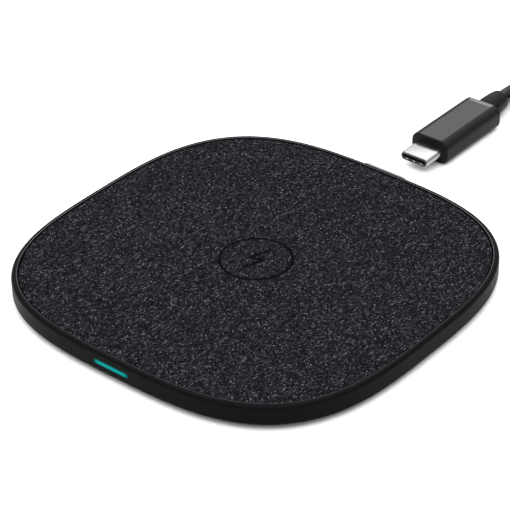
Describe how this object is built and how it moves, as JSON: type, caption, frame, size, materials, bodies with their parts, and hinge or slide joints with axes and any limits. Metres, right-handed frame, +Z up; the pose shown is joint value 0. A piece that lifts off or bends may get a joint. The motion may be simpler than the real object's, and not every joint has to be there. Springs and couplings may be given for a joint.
{
  "type": "wireless charging pad",
  "caption": "Flat square-round wireless charging pad with a cloth top, status light and rear USB-C port, and its coiled cable whose plug slides home into the port.",
  "frame": {"origin": "on the table under the middle of the pad", "axes": "+Z up, out of the charging surface; +Y towards the back, where the cable plugs in; the status light is at -Y"},
  "size_m": [0.1188, 0.2351, 0.0099],
  "materials": {
    "fabric": "charcoal linen-weave cloth",
    "rim_plastic": "satin black",
    "base_plastic": "fine matt grain",
    "inner_plastic": "plain moulded",
    "silicone": "matt silicone",
    "diffuser": "translucent teal, lit from behind",
    "led": "phosphor over white housing",
    "board": "green solder mask",
    "chip": "black epoxy",
    "ceramic": "tan ceramic with tinned ends",
    "ferrite": "dull sintered grey",
    "copper": "enamelled litz wire",
    "steel": "nickel plated",
    "black_steel": "black zinc plated",
    "bezel": "grey satin plastic",
    "wire": "thin coloured insulation",
    "overmould": "dark grey satin moulding",
    "cord_jacket": "glossy black jacket",
    "tie": "soft black strap",
    "insert": "black moulded insulator",
    "insulator": "white moulded insulator"
  },
  "bodies": {
    "pad": {"rim_frame": "rim_plastic", "base_cover": "base_plastic", "top_plate": "inner_plastic", "fabric_cover": "fabric", "foot_front_left": "silicone", "foot_front_right": "silicone", "foot_back_left": "silicone", "foot_back_right": "silicone", "housing_screw_front_left": "steel", "housing_screw_front_right": "steel", "housing_screw_back_left": "steel", "housing_screw_back_right": "steel", "coil_cradle": "inner_plastic", "ferrite_shield": "ferrite", "charging_coil": "copper", "coil_lead_inner": "copper", "coil_lead_outer": "copper", "temperature_sensor": "chip", "sensor_wire": "wire", "main_board": "board", "board_screw_left": "black_steel", "board_screw_right": "black_steel", "controller_chip": "chip", "coil_driver_chip": "chip", "power_inductor": "ferrite", "resonant_capacitor_1": "ceramic", "resonant_capacitor_2": "ceramic", "resonant_capacitor_3": "ceramic", "resonant_capacitor_4": "ceramic", "port_shell": "steel", "port_tongue": "insert", "port_bezel": "bezel", "led_light_guide": "diffuser", "led_board": "board", "led_left": "led", "led_right": "led", "led_wire_left": "wire", "led_wire_right": "wire"},
    "cable": {"usb_c_shell": "steel", "usb_c_insert": "insert", "usb_c_overmould": "overmould", "usb_c_collar": "overmould", "cable_lead": "cord_jacket", "cable_coil": "cord_jacket", "cable_tail": "cord_jacket", "cable_tie": "tie", "usb_a_shell": "steel", "usb_a_insulator": "insulator", "usb_a_overmould": "overmould", "usb_a_collar": "overmould"}
  },
  "joints": [
    {"name": "plug_insert", "type": "slide", "parent": "pad", "child": "cable", "axis": [0, -1, 0], "range_m": [0, 0.018]}
  ]
}
